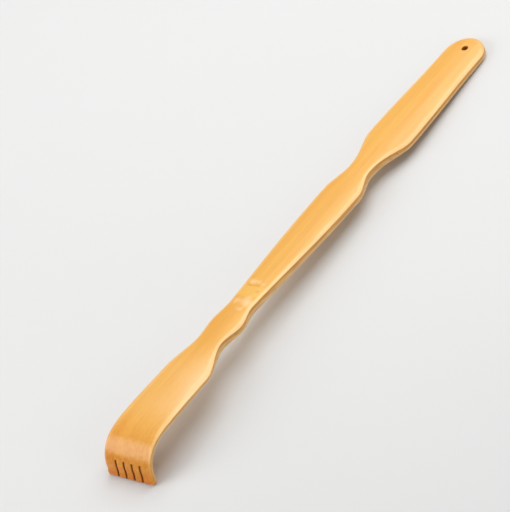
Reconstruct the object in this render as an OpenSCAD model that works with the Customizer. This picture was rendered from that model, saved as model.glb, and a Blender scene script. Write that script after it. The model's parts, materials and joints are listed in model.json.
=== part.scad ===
// Bamboo back scratcher, lying hook down on a table.
// One strip of bamboo in named zones that meet face to face: a grip, a shaft, a knuckle, a head,
// a heat-bent claw and its sawn teeth. Millimetres, +X towards the butt of the grip, +Z up.
// The origin is under the middle of the strip, on the table.

/* [Teeth] */
// Saw cuts in the end of the claw, one fewer than the teeth
slit_count = 4; // [2:1:6]
// Length of the saw cuts, from the tips
slit_len = 14.5; // [8:0.5:22]
// Width of a saw cut
kerf = 1.9; // [0.6:0.1:2.2]
// Width of the two outer teeth
outer_tooth_w = 10; // [7:0.5:12]
// Thickness at the tips
tip_t = 5; // [4:0.1:7]
// Length over which the tips thicken again
tip_flare_len = 7; // [4:0.5:10]
// Radius of the rounding over the tips
tip_round = 1.7; // [0.8:0.1:2.2]
// Radius of the two outer corners of the tips
corner_r = 2.5; // [1:0.1:4]

/* [Claw] */
// Width of the claw at its teeth
claw_w = 46; // [40:0.5:56]
// Thickness of the claw where it is bent
claw_t = 3.7; // [3.2:0.1:6]
// Length of the nearly straight run above the tips
curl_len = 8.5; // [5:0.5:14]
// Turn of that run, in degrees
curl_angle = 5.5; // [2:0.5:12]
// Inner radius of the tight bend
bend_r = 20.5; // [14:0.5:28]
// Turn of the tight bend, in degrees
bend_angle = 70; // [50:1:76]
// Inner radius of the gentle start of the bend
lead_r = 52; // [35:1:80]
// Turn of that start, in degrees
lead_angle = 16; // [8:1:24]

/* [Head] */
// Width of the head where the bend begins
plate_w = 44.7; // [38:0.1:54]
// Width of the head where the neck begins
head_w = 43.5; // [36:0.5:54]
// Length of the flat plate above the bend
head_len = 53; // [40:0.5:80]
// Thickness of the head
head_t = 6; // [4.5:0.1:7]
// Length of the taper from the head to the neck
neck_len = 35.5; // [28:0.5:60]
// Width of the neck
neck_w = 23.5; // [20:0.5:28]

/* [Knuckle] */
// Length from the neck to the crest of the knuckle
knuckle_rise = 20.5; // [12:0.5:30]
// Width of the knuckle
knuckle_w = 29.6; // [26:0.1:36]
// Length from the crest of the knuckle to the waist
knuckle_fall = 20; // [14:0.5:30]
// Width of the waist below the shaft
waist_w = 22.5; // [19:0.5:27]

/* [Shaft] */
// Length from the waist to the shaft's widest place
shaft_len = 129; // [90:1:170]
// Width of the shaft at its widest
shaft_w = 34.8; // [30:0.1:42]
// Length of the shoulder that stays at that width
shoulder_len = 4; // [2:0.5:12]
// Length from the shoulder down to the upper waist
shoulder_fall = 25.5; // [20:0.5:46]
// Thickness of the shaft and grip
body_t = 7.2; // [6:0.1:9]

/* [Grip] */
// Width of the upper waist, between shaft and grip
upper_waist_w = 21; // [19:0.5:27]
// Length from the upper waist to the full width of the grip
grip_rise = 41; // [30:0.5:56]
// Width of the grip
grip_w = 42; // [36:0.5:48]
// Length of the grip up to its round butt
grip_len = 98; // [70:1:130]
// Width of the butt, which ends in a half circle
butt_w = 36; // [30:0.5:42]
// Thickness at the butt
butt_t = 6.6; // [5:0.1:8]
// Diameter of the hanging hole
hole_d = 5; // [3.5:0.1:8]
// Distance of the hole's centre from the end of the butt
hole_inset = 13; // [9:0.5:18]
// Chamfer at both ends of the hole
hole_chamfer = 0.6; // [0.3:0.1:1]

/* [Section] */
// Radius of the natural crown of the culm, from the neck to the butt
crown_r = 130; // [100:5:400]
// Radius of the flatter crown across the claw
claw_crown_r = 600; // [200:20:900]
// Width of the gentle easing along the upper edges of the claw
edge_w_claw = 2.4; // [1:0.1:3]
// Width of that easing where the bend begins
edge_w_plate = 4.2; // [2.5:0.1:6]
// Width of that easing on the head, where the neck begins
edge_w_head = 6; // [4:0.1:8]
// Width of that easing in the hollows: the neck and the two waists
edge_w_hollow = 2.8; // [1.5:0.1:4]
// Width of that easing on the swells: the knuckle, shoulder and grip
edge_w_swell = 4; // [2.5:0.1:6]
// Depth of the easing on the claw
edge_drop_claw = 0.25; // [0.1:0.05:0.8]
// Depth of the easing in the hollows
edge_drop_hollow = 0.4; // [0.2:0.05:1]
// Depth of the easing on the head and the swells
edge_drop_swell = 1.3; // [0.8:0.05:2]
// Radius of the arris between the eased edge and the side wall
arris_r = 0.3; // [0.2:0.05:0.8]
// Radius of the rounding along the lower edges
under_round = 0.7; // [0.4:0.1:1.4]

/* [Hidden] */
tooth_count = slit_count + 1;

// Colours of the lacquered strip
bamboo = [0.96, 0.73, 0.39];
bamboo_bent = [0.90, 0.63, 0.28];

// Spacing of the rings along the strip: straight stretches, bends and short features
ring_step = 4.2;
bend_step = 1.6;
fine_step = 0.85;
// Pieces across the arris, across the eased edge, and between the two edges
arris_steps = 2;
fan_steps = 3;
core_steps = 4;
tooth_core_steps = 2;
// The most of its half of the width that an eased edge's pieces take
fan_share = 0.8;
// Degrees between rings round the butt, and the last ring's angle
butt_step = 8;
butt_last = 88;
// Sides of the hanging hole
hole_sides = 48;
// How early the shaft gains its width; 1 would be an even S
shaft_lean = 0.73;
// How late the grip gains its width
grip_lean = 1.25;
// How early the easing along the head and the shaft gains its width, and how late its depth
edge_w_lean = 0.45;
edge_drop_lean = 1.3;
even = 1;
// How softly the easing sets in; 1 would be a flat bevel
edge_power = 1.5;
// The most that the edges may take from the top and from the underside, as shares of the thickness
top_share = 0.42;
under_share = 0.3;
// Overlap of a cutting tool past the surface it cuts
past = 1;
// Rounds of halving that find the resting tilt, and its widest bracket in degrees
tilt_rounds = 40;
tilt_most = 20;

// Places along the underside, measured from the tips
bend_at = curl_len;
lead_at = bend_at + bend_r * bend_angle * PI / 180;
plate_at = lead_at + lead_r * lead_angle * PI / 180;
neck_from = plate_at + head_len;
neck_at = neck_from + neck_len;
knuckle_at = neck_at + knuckle_rise;
waist_at = knuckle_at + knuckle_fall;
shoulder_at = waist_at + shaft_len;
shoulder_end = shoulder_at + shoulder_len;
upper_waist_at = shoulder_end + shoulder_fall;
grip_at = upper_waist_at + grip_rise;
butt_at = grip_at + grip_len;
butt_r = butt_w / 2;
strip_end = butt_at + butt_r;
hole_at = strip_end - hole_inset;

// Saw cuts: the inner teeth share what the outer two leave
slit_pitch = (claw_w - 2 * outer_tooth_w - kerf) / (slit_count - 1);

// Stations along the strip: place, value, and the lean of the curve to the next station
width_stations = [
    [slit_len, claw_w, even],
    [plate_at, plate_w, even],
    [neck_from, head_w, even],
    [neck_at, neck_w, even],
    [knuckle_at, knuckle_w, even],
    [waist_at, waist_w, shaft_lean],
    [shoulder_at, shaft_w, even],
    [shoulder_end, shaft_w, even],
    [upper_waist_at, upper_waist_w, grip_lean],
    [grip_at, grip_w, even],
    [butt_at, butt_w, even],
    [strip_end, butt_w, even]
];
thickness_stations = [
    [0, tip_t, even],
    [tip_flare_len, claw_t, even],
    [lead_at, claw_t, even],
    [neck_from, head_t, even],
    [neck_at, body_t, even],
    [grip_at, body_t, even],
    [strip_end, butt_t, even]
];
flatness_stations = [
    [0, 1 / claw_crown_r, even],
    [plate_at, 1 / claw_crown_r, even],
    [neck_from, 1 / crown_r, even],
    [strip_end, 1 / crown_r, even]
];
// Stations of a size of the easing, from its values on the claw, where the bend begins, on the head,
// in the hollows and on the swells
function edge_stations(claw, plate, head, hollow, swell, lean) = [
    [slit_len, claw, even],
    [plate_at, plate, lean],
    [neck_from, head, even],
    [neck_at, hollow, even],
    [knuckle_at, swell, even],
    [waist_at, hollow, lean],
    [shoulder_at, swell, even],
    [shoulder_end, swell, even],
    [upper_waist_at, hollow, even],
    [grip_at, swell, even],
    [strip_end, swell, even]
];
edge_widths = edge_stations(
    edge_w_claw, edge_w_plate, edge_w_head, edge_w_hollow, edge_w_swell, edge_w_lean
);
edge_drops = edge_stations(
    edge_drop_claw, edge_drop_claw, edge_drop_swell, edge_drop_hollow, edge_drop_swell, edge_drop_lean
);

function ease(f) = f * f * (3 - 2 * f);

// Value between stations; past the first or last station it stays at that station's value
function along(stations, d) =
    let (last = len(stations) - 1)
    d <= stations[0][0] ? stations[0][1]
    : d >= stations[last][0] ? stations[last][1]
    : let (
        i = max([for (k = [0:last - 1]) stations[k][0] <= d ? k : 0]),
        a = stations[i],
        b = stations[i + 1],
        f = (d - a[0]) / (b[0] - a[0])
    )
    a[1] + (b[1] - a[1]) * ease(pow(f, a[2]));

// How far a quarter-round of the given width and depth has fallen, at a gap from its outer edge
function fallen(gap, width, depth) =
    gap >= width ? 0
    : depth * (1 - sqrt(max(0, 1 - pow((width - max(gap, 0)) / width, 2))));

// How far a gentle easing of the given width and depth has fallen, at a gap from its outer edge
function eased(gap, width, depth) =
    gap >= width ? 0 : depth * pow(1 - max(gap, 0) / width, edge_power);

// Half the width at a place, with the round butt and the rounded outer corners of the tips
function half_w(d) =
    let (past_butt = d - butt_at)
    past_butt > 0 ? sqrt(max(0, butt_r * butt_r - past_butt * past_butt))
    : along(width_stations, d) / 2 - fallen(d, corner_r, corner_r);

function thickness(d) = along(thickness_stations, d);

// Distance of a point of the plan from the strip's outline
function edge_gap(d, w) =
    d > butt_at ? butt_r - norm([d - butt_at, w]) : half_w(d) - abs(w);

// Height of the upper face above the underside's plane
function top_n(d, w) =
    let (
        t = thickness(d),
        gap = edge_gap(d, w),
        easing = eased(gap, along(edge_widths, d), along(edge_drops, d)),
        edge = easing + fallen(gap, arris_r, arris_r),
        tip = fallen(d, tip_round, tip_round)
    )
    t - w * w * along(flatness_stations, d) / 2 - min(max(edge, tip), top_share * t);

// Height of the lower face: flat, with rounded edges
function under_n(d, w) =
    let (
        limit = under_share * thickness(d),
        edge = fallen(edge_gap(d, w), under_round, min(under_round, limit)),
        tip = fallen(d, tip_round, min(tip_round, limit))
    )
    max(edge, tip);

// The underside's path in the XZ plane, from the straight plate round the bend: each stretch is
// [length, turn], and a pose is [x, z, degrees below -X]
path = [
    [plate_at - lead_at, lead_angle],
    [lead_at - bend_at, bend_angle],
    [bend_at, curl_angle]
];

// Pose after walking a length of an arc that turns evenly
function walk(pose, length, turn) =
    let (
        r = length / (turn * PI / 180),
        end = pose[2] + turn
    )
    [
        pose[0] - r * (sin(end) - sin(pose[2])),
        pose[1] - r * (cos(pose[2]) - cos(end)),
        end
    ];

// Pose after walking back along the path from the plate
function walked(pose, back, i) =
    back <= 0 || i >= len(path) ? pose
    : let (
        stretch = path[i],
        share = min(back, stretch[0]) / stretch[0]
    )
    walked(walk(pose, share * stretch[0], share * stretch[1]), back - stretch[0], i + 1);

function pose_at(d) = d >= plate_at ? [d - plate_at, 0, 0] : walked([0, 0, 0], plate_at - d, 0);

// A point of the strip: place along it, place across it, height above the underside
function point_at(d, w, n) =
    let (p = pose_at(d))
    [p[0] - n * sin(p[2]), w, p[1] + n * cos(p[2])];

// Places across the strip, from edge to edge, or from and to a saw cut where one is given
function across(d, from, to, steps) =
    let (
        h = half_w(d),
        low = is_undef(from) ? -h : from,
        high = is_undef(to) ? h : to,
        reach = min(along(edge_widths, d), fan_share * (high - low) / 2),
        arris = min(arris_r, fan_share * reach),
        fan = concat(
            [for (i = [0:arris_steps - 1]) arris * pow(i / arris_steps, 2)],
            [for (i = [0:fan_steps]) arris + (reach - arris) * i / fan_steps]
        ),
        left = is_undef(from) ? [for (o = fan) o - h] : [from],
        right = is_undef(to) ? [for (i = [len(fan) - 1:-1:0]) h - fan[i]] : [to],
        a = left[len(left) - 1],
        b = right[0]
    )
    concat(left, [for (i = [1:steps - 1]) a + (b - a) * i / steps], right);

// One ring of points: the upper face, then the lower face, both from left to right
function ring(d, from, to, steps) =
    let (ws = across(d, from, to, steps))
    concat(
        [for (w = ws) point_at(d, w, top_n(d, w))],
        [for (w = ws) point_at(d, w, under_n(d, w))]
    );

// Evenly spaced places, no further apart than the step
function places(from, to, step) =
    let (n = max(1, ceil((to - from) / step)))
    [for (i = [0:n]) from + (to - from) * i / n];

// Two triangles for each four-sided face
function halved(quads) = [for (q = quads, t = [[q[0], q[1], q[2]], [q[0], q[2], q[3]]]) t];

// A closed solid through the rings at the given places
module strip(ds, from = undef, to = undef, steps = core_steps) {
    rings = [for (d = ds) ring(d, from, to, steps)];
    size = len(rings[0]);
    m = size / 2;
    last = (len(ds) - 1) * size;
    quads = concat(
        [for (p = [0:size:last - size], j = [0:m - 2])
            [p + j, p + j + 1, p + size + j + 1, p + size + j]],
        [for (p = [m:size:last - size + m], j = [0:m - 2])
            [p + j, p + size + j, p + size + j + 1, p + j + 1]],
        [for (p = [0:size:last - size]) [p, p + size, p + size + m, p + m]],
        [for (p = [m - 1:size:last - 1]) [p, p + m, p + size + m, p + size]],
        [for (j = [0:m - 2]) [j, j + m, j + m + 1, j + 1]],
        [for (j = [last:last + m - 2]) [j, j + 1, j + m + 1, j + m]]
    );
    polyhedron(points = [for (r = rings, p = r) p], faces = halved(quads));
}

// Profile of the strip's two ends and of the bend, for setting it down on the table
tip_places = places(0, corner_r, fine_step / 2);
butt_places = [for (a = [0:butt_step:butt_last]) butt_at + butt_r * sin(a)];
tip_profile = [for (d = tip_places, n = [under_n(d, 0), top_n(d, 0)]) point_at(d, 0, n)];
butt_profile = [for (d = butt_places, n = [under_n(d, 0), top_n(d, 0)]) point_at(d, 0, n)];
bend_profile = [for (d = places(0, plate_at, fine_step)) point_at(d, 0, top_n(d, 0))];

function lowest(profile, tilt) = min([for (p = profile) p[2] * cos(tilt) - p[0] * sin(tilt)]);
function reaches(profile, tilt) = [for (p = profile) p[0] * cos(tilt) + p[2] * sin(tilt)];

// Tilt at which the tips and the butt touch the table together
function resting_tilt(low, high, rounds) =
    let (
        mid = (low + high) / 2,
        butt_higher = lowest(butt_profile, mid) > lowest(tip_profile, mid)
    )
    rounds == 0 ? mid
    : resting_tilt(butt_higher ? mid : low, butt_higher ? high : mid, rounds - 1);

tilt = resting_tilt(0, tilt_most, tilt_rounds);
table_z = lowest(tip_profile, tilt);
middle_x = (min(reaches(bend_profile, tilt)) + max(reaches(butt_profile, tilt))) / 2;

module at_rest() {
    translate([-middle_x, 0, -table_z])
        rotate([0, tilt, 0])
            children();
}

// Across-strip place of the middle of a saw cut
function slit_w(i) = (i - (slit_count - 1) / 2) * slit_pitch;

module hanging_hole() {
    top = top_n(hole_at, 0);
    translate(point_at(hole_at, 0, 0)) {
        translate([0, 0, -past])
            cylinder(d = hole_d, h = top + 2 * past, $fn = hole_sides);
        translate([0, 0, -past])
            cylinder(
                d1 = hole_d + 2 * (hole_chamfer + past),
                d2 = hole_d,
                h = hole_chamfer + past,
                $fn = hole_sides
            );
        translate([0, 0, top - hole_chamfer])
            cylinder(
                d1 = hole_d,
                d2 = hole_d + 2 * (hole_chamfer + past),
                h = hole_chamfer + past,
                $fn = hole_sides
            );
    }
}

module grip() {
    straight = places(upper_waist_at, butt_at, ring_step);
    round_end = [for (a = [butt_step:butt_step:butt_last]) butt_at + butt_r * sin(a)];
    color(bamboo)
        at_rest()
            difference() {
                strip(concat(straight, round_end));
                hanging_hole();
            }
}

module shaft() {
    color(bamboo)
        at_rest()
            strip(places(waist_at, upper_waist_at, ring_step));
}

module knuckle() {
    color(bamboo)
        at_rest()
            strip(places(neck_at, waist_at, ring_step));
}

module head() {
    color(bamboo)
        at_rest()
            strip(places(plate_at, neck_at, ring_step));
}

module claw_bend() {
    color(bamboo_bent)
        at_rest()
            strip(places(slit_len, plate_at, bend_step));
}

module tooth(i) {
    from = i == 0 ? undef : slit_w(i - 1) + kerf / 2;
    to = i == slit_count ? undef : slit_w(i) - kerf / 2;
    above = [for (d = places(corner_r, slit_len, bend_step)) if (d > corner_r) d];
    color(bamboo_bent)
        at_rest()
            strip(concat(tip_places, above), from, to, tooth_core_steps);
}

grip();
shaft();
knuckle();
head();
claw_bend();
for (i = [0:slit_count])
    tooth(i);
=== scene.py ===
"""A bamboo back scratcher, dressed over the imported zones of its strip.

The strip is drawn as one skin and then parted where its zones meet. Each of its points has a place along
the strip (d), a place across it (w) and a height above its underside (n), and a formula bends that flat
strip into the claw. Metres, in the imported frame.
"""

import json
import math

import bmesh
import bpy
import numpy as np
from mathutils import Matrix, Vector, noise


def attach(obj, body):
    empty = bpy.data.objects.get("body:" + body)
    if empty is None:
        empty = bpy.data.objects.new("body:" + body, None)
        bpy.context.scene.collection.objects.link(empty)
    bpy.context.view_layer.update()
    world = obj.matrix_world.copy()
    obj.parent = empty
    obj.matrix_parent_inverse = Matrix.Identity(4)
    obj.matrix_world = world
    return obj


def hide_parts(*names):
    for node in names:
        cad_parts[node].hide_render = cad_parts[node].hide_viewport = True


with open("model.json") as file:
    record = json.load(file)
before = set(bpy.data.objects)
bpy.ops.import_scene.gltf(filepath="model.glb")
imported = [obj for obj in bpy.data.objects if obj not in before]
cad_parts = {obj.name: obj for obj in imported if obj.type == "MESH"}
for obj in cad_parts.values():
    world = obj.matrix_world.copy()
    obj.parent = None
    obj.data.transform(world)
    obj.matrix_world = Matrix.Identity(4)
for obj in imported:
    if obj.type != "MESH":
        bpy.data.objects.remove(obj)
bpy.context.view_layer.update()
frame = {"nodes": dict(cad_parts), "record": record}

MM = 0.001
QUARTER = math.pi / 2

# Teeth
SLIT_COUNT = 4
SLIT_LEN = 14.5 * MM
KERF = 1.9 * MM
OUTER_TOOTH_W = 10 * MM
TIP_T = 5 * MM
TIP_FLARE_LEN = 7 * MM
TIP_ROUND = 1.7 * MM
CORNER_R = 2.5 * MM
# Claw
CLAW_W = 46 * MM
CLAW_T = 3.7 * MM
CURL_LEN = 8.5 * MM
CURL_TURN = math.radians(5.5)
BEND_R = 20.5 * MM
BEND_TURN = math.radians(70)
LEAD_R = 52 * MM
LEAD_TURN = math.radians(16)
# Head
PLATE_W = 44.7 * MM
HEAD_W = 43.5 * MM
HEAD_LEN = 53 * MM
HEAD_T = 6 * MM
NECK_LEN = 35.5 * MM
NECK_W = 23.5 * MM
# Knuckle
KNUCKLE_RISE = 20.5 * MM
KNUCKLE_W = 29.6 * MM
KNUCKLE_FALL = 20 * MM
WAIST_W = 22.5 * MM
# Shaft
SHAFT_LEN = 129 * MM
SHAFT_W = 34.8 * MM
SHOULDER_LEN = 4 * MM
SHOULDER_FALL = 25.5 * MM
BODY_T = 7.2 * MM
# Grip
UPPER_WAIST_W = 21 * MM
GRIP_RISE = 41 * MM
GRIP_W = 42 * MM
GRIP_LEN = 98 * MM
BUTT_W = 36 * MM
BUTT_T = 6.6 * MM
HOLE_R = 2.5 * MM
HOLE_INSET = 13 * MM
HOLE_ROUND = 0.6 * MM
# Section
CROWN_R = 130 * MM
CLAW_CROWN_R = 600 * MM
EDGE_W_CLAW = 2.4 * MM
EDGE_W_PLATE = 4.2 * MM
EDGE_W_HEAD = 6 * MM
EDGE_W_HOLLOW = 2.8 * MM
EDGE_W_SWELL = 4 * MM
EDGE_DROP_CLAW = 0.25 * MM
EDGE_DROP_HOLLOW = 0.4 * MM
EDGE_DROP_SWELL = 1.3 * MM
# How softly the easing sets in: 1 is a flat bevel
EDGE_POWER = 1.5
ARRIS_R = 0.3 * MM
UNDER_ROUND = 0.7 * MM
# The most that the edges may take from the top and from the underside, as shares of the thickness
TOP_SHARE = 0.42
UNDER_SHARE = 0.3
# How early or late a curve between two stations turns; 1 is an even S
EVEN = 1
SHAFT_LEAN = 0.73
GRIP_LEAN = 1.25
EDGE_W_LEAN = 0.45
EDGE_DROP_LEAN = 1.3
# Detail that only the skin has: worn lips of the saw cuts, hand sanding, the ridge of the culm's joint
LIP_W = 0.4 * MM
LIP_DROP = 0.25 * MM
SANDING = 0.05 * MM
# Waves per metre along the strip and across it
SANDING_WAVES = (38, 70)
JOINT_AHEAD = 13 * MM
JOINT_RIDGE = 0.12 * MM
JOINT_RIDGE_W = 3 * MM

# Places along the underside, from the tips
BEND_AT = CURL_LEN
LEAD_AT = BEND_AT + BEND_R * BEND_TURN
PLATE_AT = LEAD_AT + LEAD_R * LEAD_TURN
NECK_FROM = PLATE_AT + HEAD_LEN
NECK_AT = NECK_FROM + NECK_LEN
KNUCKLE_AT = NECK_AT + KNUCKLE_RISE
WAIST_AT = KNUCKLE_AT + KNUCKLE_FALL
SHOULDER_AT = WAIST_AT + SHAFT_LEN
SHOULDER_END = SHOULDER_AT + SHOULDER_LEN
UPPER_WAIST_AT = SHOULDER_END + SHOULDER_FALL
GRIP_AT = UPPER_WAIST_AT + GRIP_RISE
BUTT_AT = GRIP_AT + GRIP_LEN
BUTT_R = BUTT_W / 2
STRIP_END = BUTT_AT + BUTT_R
HOLE_AT = STRIP_END - HOLE_INSET
JOINT_AT = WAIST_AT + JOINT_AHEAD
SLIT_PITCH = (CLAW_W - 2 * OUTER_TOOTH_W - KERF) / (SLIT_COUNT - 1)

# Stations along the strip: place, value, lean of the curve to the next station
WIDTHS = (
    (SLIT_LEN, CLAW_W, EVEN),
    (PLATE_AT, PLATE_W, EVEN),
    (NECK_FROM, HEAD_W, EVEN),
    (NECK_AT, NECK_W, EVEN),
    (KNUCKLE_AT, KNUCKLE_W, EVEN),
    (WAIST_AT, WAIST_W, SHAFT_LEAN),
    (SHOULDER_AT, SHAFT_W, EVEN),
    (SHOULDER_END, SHAFT_W, EVEN),
    (UPPER_WAIST_AT, UPPER_WAIST_W, GRIP_LEAN),
    (GRIP_AT, GRIP_W, EVEN),
    (BUTT_AT, BUTT_W, EVEN),
)
THICKNESSES = (
    (0, TIP_T, EVEN),
    (TIP_FLARE_LEN, CLAW_T, EVEN),
    (LEAD_AT, CLAW_T, EVEN),
    (NECK_FROM, HEAD_T, EVEN),
    (NECK_AT, BODY_T, EVEN),
    (GRIP_AT, BODY_T, EVEN),
    (STRIP_END, BUTT_T, EVEN),
)
CROWNS = (
    (0, 1 / CLAW_CROWN_R, EVEN),
    (PLATE_AT, 1 / CLAW_CROWN_R, EVEN),
    (NECK_FROM, 1 / CROWN_R, EVEN),
)


def edge_stations(claw, plate, head, hollow, swell, lean):
    """Stations of a size of the eased edges: on the claw, plate and head, in hollows and on swells."""
    return (
        (SLIT_LEN, claw, EVEN),
        (PLATE_AT, plate, lean),
        (NECK_FROM, head, EVEN),
        (NECK_AT, hollow, EVEN),
        (KNUCKLE_AT, swell, EVEN),
        (WAIST_AT, hollow, lean),
        (SHOULDER_AT, swell, EVEN),
        (SHOULDER_END, swell, EVEN),
        (UPPER_WAIST_AT, hollow, EVEN),
        (GRIP_AT, swell, EVEN),
    )


EDGE_WIDTHS = edge_stations(
    EDGE_W_CLAW, EDGE_W_PLATE, EDGE_W_HEAD, EDGE_W_HOLLOW, EDGE_W_SWELL, EDGE_W_LEAN
)
EDGE_DROPS = edge_stations(
    EDGE_DROP_CLAW, EDGE_DROP_CLAW, EDGE_DROP_SWELL, EDGE_DROP_HOLLOW, EDGE_DROP_SWELL, EDGE_DROP_LEAN
)
# The underside's path back from the plate: length and turn of each stretch
PATH = (
    (PLATE_AT - LEAD_AT, LEAD_TURN),
    (LEAD_AT - BEND_AT, BEND_TURN),
    (BEND_AT, CURL_TURN),
)
# Straight zones between the bend and the grip: name, start and end
STRAIGHT_ZONES = (
    ("head", PLATE_AT, NECK_AT),
    ("knuckle", NECK_AT, WAIST_AT),
    ("shaft", WAIST_AT, UPPER_WAIST_AT),
)

# Spacing of the skin's rows and columns
ROW_STEP = 1.9 * MM
BEND_ROW_STEP = 0.8 * MM
TIP_ROWS = 9
ARRIS_STEPS = 3
EASED_STEPS = 6
EASED_CROWDING = 1.4
FAN_STEPS = ARRIS_STEPS + EASED_STEPS
LIP_STEPS = 3
TOOTH_STEPS = 4
WALL_STEPS = 4
BUTT_ROWS = 12
HOLE_RINGS = 4
RIM_STEPS = 3
HOLE_PATCH = 4.4 * MM


def ease(f):
    """Smooth step from 0 to 1."""
    return f * f * (3 - 2 * f)


def along(stations, d):
    """Value between stations; past the first or last one it stays as there."""
    value = np.full(np.shape(d), float(stations[0][1]))
    for (a, value_a, lean), (b, value_b, _) in zip(stations, stations[1:]):
        f = np.clip((d - a) / (b - a), 0, 1)
        value = value + (value_b - value_a) * ease(f**lean)
    return value


def fallen(gap, width, depth):
    """How far a quarter-round of that width and depth has fallen, at a gap from its outer edge."""
    f = np.clip((width - gap) / width, 0, 1)
    return depth * (1 - np.sqrt(1 - f * f))


def eased(gap, width, depth):
    """How far a gentle easing of that width and depth has fallen, at a gap from its outer edge."""
    return depth * np.clip(1 - gap / width, 0, 1) ** EDGE_POWER


def half_width(d):
    """Half the width up to the butt, with the rounded outer corners of the tips."""
    return along(WIDTHS, d) / 2 - fallen(d, CORNER_R, CORNER_R)


def edge_gap(d, w):
    """Distance of a point of the plan from the strip's outline."""
    round_end = BUTT_R - np.hypot(d - BUTT_AT, w)
    return np.where(d > BUTT_AT, round_end, half_width(d) - np.abs(w))


def slit_place(i):
    """Middle of a saw cut, across the strip."""
    return (i - (SLIT_COUNT - 1) / 2) * SLIT_PITCH


def slit_gap(d, w):
    """Distance of a point of the plan from the nearest saw cut."""
    sides = [np.maximum(np.abs(w - slit_place(i)) - KERF / 2, 0) for i in range(SLIT_COUNT)]
    return np.hypot(np.min(sides, axis=0), np.maximum(d - SLIT_LEN, 0))


def plain_top(d, w, gap):
    """Height of the upper face above the underside's plane, at a gap from the outline."""
    t = along(THICKNESSES, d)
    edge = eased(gap, along(EDGE_WIDTHS, d), along(EDGE_DROPS, d)) + fallen(gap, ARRIS_R, ARRIS_R)
    tip = fallen(d, TIP_ROUND, TIP_ROUND)
    return t - w * w * along(CROWNS, d) / 2 - np.minimum(np.maximum(edge, tip), TOP_SHARE * t)


def sanding(d, w):
    """Slight unevenness left by hand sanding and the joint's ridge, gone at the outline and the teeth."""
    places = zip(np.ravel(d * SANDING_WAVES[0]), np.ravel(w * SANDING_WAVES[1]))
    waves = np.reshape([noise.noise(Vector((x, y, 0))) for x, y in places], np.shape(d))
    ridge = np.exp(-(((d - JOINT_AT) / JOINT_RIDGE_W) ** 2))
    inside = ease(np.clip(edge_gap(d, w) / EDGE_W_SWELL, 0, 1))
    above_teeth = ease(np.clip((d - SLIT_LEN) / SLIT_LEN, 0, 1))
    return inside * above_teeth * (SANDING * (waves - 1) + JOINT_RIDGE * ridge)


def top_height(d, w):
    """Height of the skin's upper face, with worn lips along the saw cuts."""
    return plain_top(d, w, edge_gap(d, w)) - fallen(slit_gap(d, w), LIP_W, LIP_DROP) + sanding(d, w)


def under_height(d, w):
    """Height of the lower face: flat, with rounded edges and lips."""
    limit = UNDER_SHARE * along(THICKNESSES, d)
    edge = fallen(edge_gap(d, w), UNDER_ROUND, np.minimum(UNDER_ROUND, limit))
    tip = fallen(d, TIP_ROUND, np.minimum(TIP_ROUND, limit))
    return np.maximum(edge, tip) + fallen(slit_gap(d, w), LIP_W, LIP_DROP)


def pose(d):
    """The underside in the strip's upright plane: place along the plate, height, and heading below it."""
    back = np.maximum(PLATE_AT - d, 0)
    x = np.maximum(d - PLATE_AT, 0)
    z = np.zeros(np.shape(d))
    heading = np.zeros(np.shape(d))
    for length, turn in PATH:
        step = np.clip(back, 0, length)
        radius = length / turn
        end = heading + step / radius
        x = x - radius * (np.sin(end) - np.sin(heading))
        z = z - radius * (np.cos(heading) - np.cos(end))
        heading = end
        back = back - step
    return x, z, heading


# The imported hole's axis and middle set the strip's lie on the table
hole_mount = next(m for m in frame["record"]["mounts"] if m["name"] == "hang_hole")
UP = np.array(hole_mount["axis"])
TO_BUTT = np.array((UP[2], 0, -UP[0]))
ACROSS = np.array((0, 1, 0))
HOLE_DEPTH = plain_top(np.array(HOLE_AT), np.array(0.0), HOLE_INSET)
HOLE_FOOT = np.array(hole_mount["pos_m"]) - UP * HOLE_DEPTH / 2


def placed(d, w, n):
    """World places of points given along the strip, across it and above its underside."""
    x, z, heading = pose(d)
    run = x - n * np.sin(heading) - (HOLE_AT - PLATE_AT)
    rise = z + n * np.cos(heading)
    lifted = np.multiply.outer(run, TO_BUTT) + np.multiply.outer(rise, UP)
    return HOLE_FOOT + lifted + np.multiply.outer(w, ACROSS)


class Skin:
    """Points of the strip and the faces between them, each with the zones that it belongs to.

    A face of two zones lies where they meet, inside the strip.
    """

    def __init__(self):
        self.points = []
        self.faces = []

    def add(self, d, w, n, sawn=0.0):
        """Adds a point and returns its number."""
        self.points.append((float(d), float(w), float(n), sawn))
        return len(self.points) - 1

    def row(self, ds, ws, heights, sawn):
        """Adds a row of points."""
        return [self.add(*point) for point in zip(ds, ws, heights, sawn)]

    def plan(self, points):
        """Places along and across the strip of some points."""
        return np.array([self.points[k][:2] for k in points]).T

    def wall(self, top, bottom, sawn=0.0):
        """A chain of points down a wall, from a point of the upper face to one of the lower face."""
        high = np.array(self.points[top][:3])
        low = np.array(self.points[bottom][:3])
        inner = [self.add(*(high + (low - high) * k / WALL_STEPS), sawn) for k in range(1, WALL_STEPS)]
        return [top] + inner + [bottom]

    def join(self, zones, a, b):
        """Faces between two chains of equal length."""
        for k in range(len(a) - 1):
            self.faces.append(((a[k], a[k + 1], b[k + 1], b[k]), zones))


class Ring:
    """One cross-section: its upper and lower rows and the two walls between them."""

    def __init__(self, skin, top, bottom, left_sawn=0.0, right_sawn=0.0):
        self.top = top
        self.bottom = bottom
        self.left = skin.wall(top[0], bottom[0], left_sawn)
        self.right = skin.wall(top[-1], bottom[-1], right_sawn)


def draw_ring(skin, ds, ws, left_sawn=0.0, right_sawn=0.0):
    """A cross-section through the strip at the places given."""
    ds = np.broadcast_to(ds, np.shape(ws))
    sawn = np.zeros(len(ws))
    sawn[0] = left_sawn
    sawn[-1] = right_sawn
    top = skin.row(ds, ws, top_height(ds, ws), sawn)
    bottom = skin.row(ds, ws, under_height(ds, ws), sawn)
    return Ring(skin, top, bottom, left_sawn, right_sawn)


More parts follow.
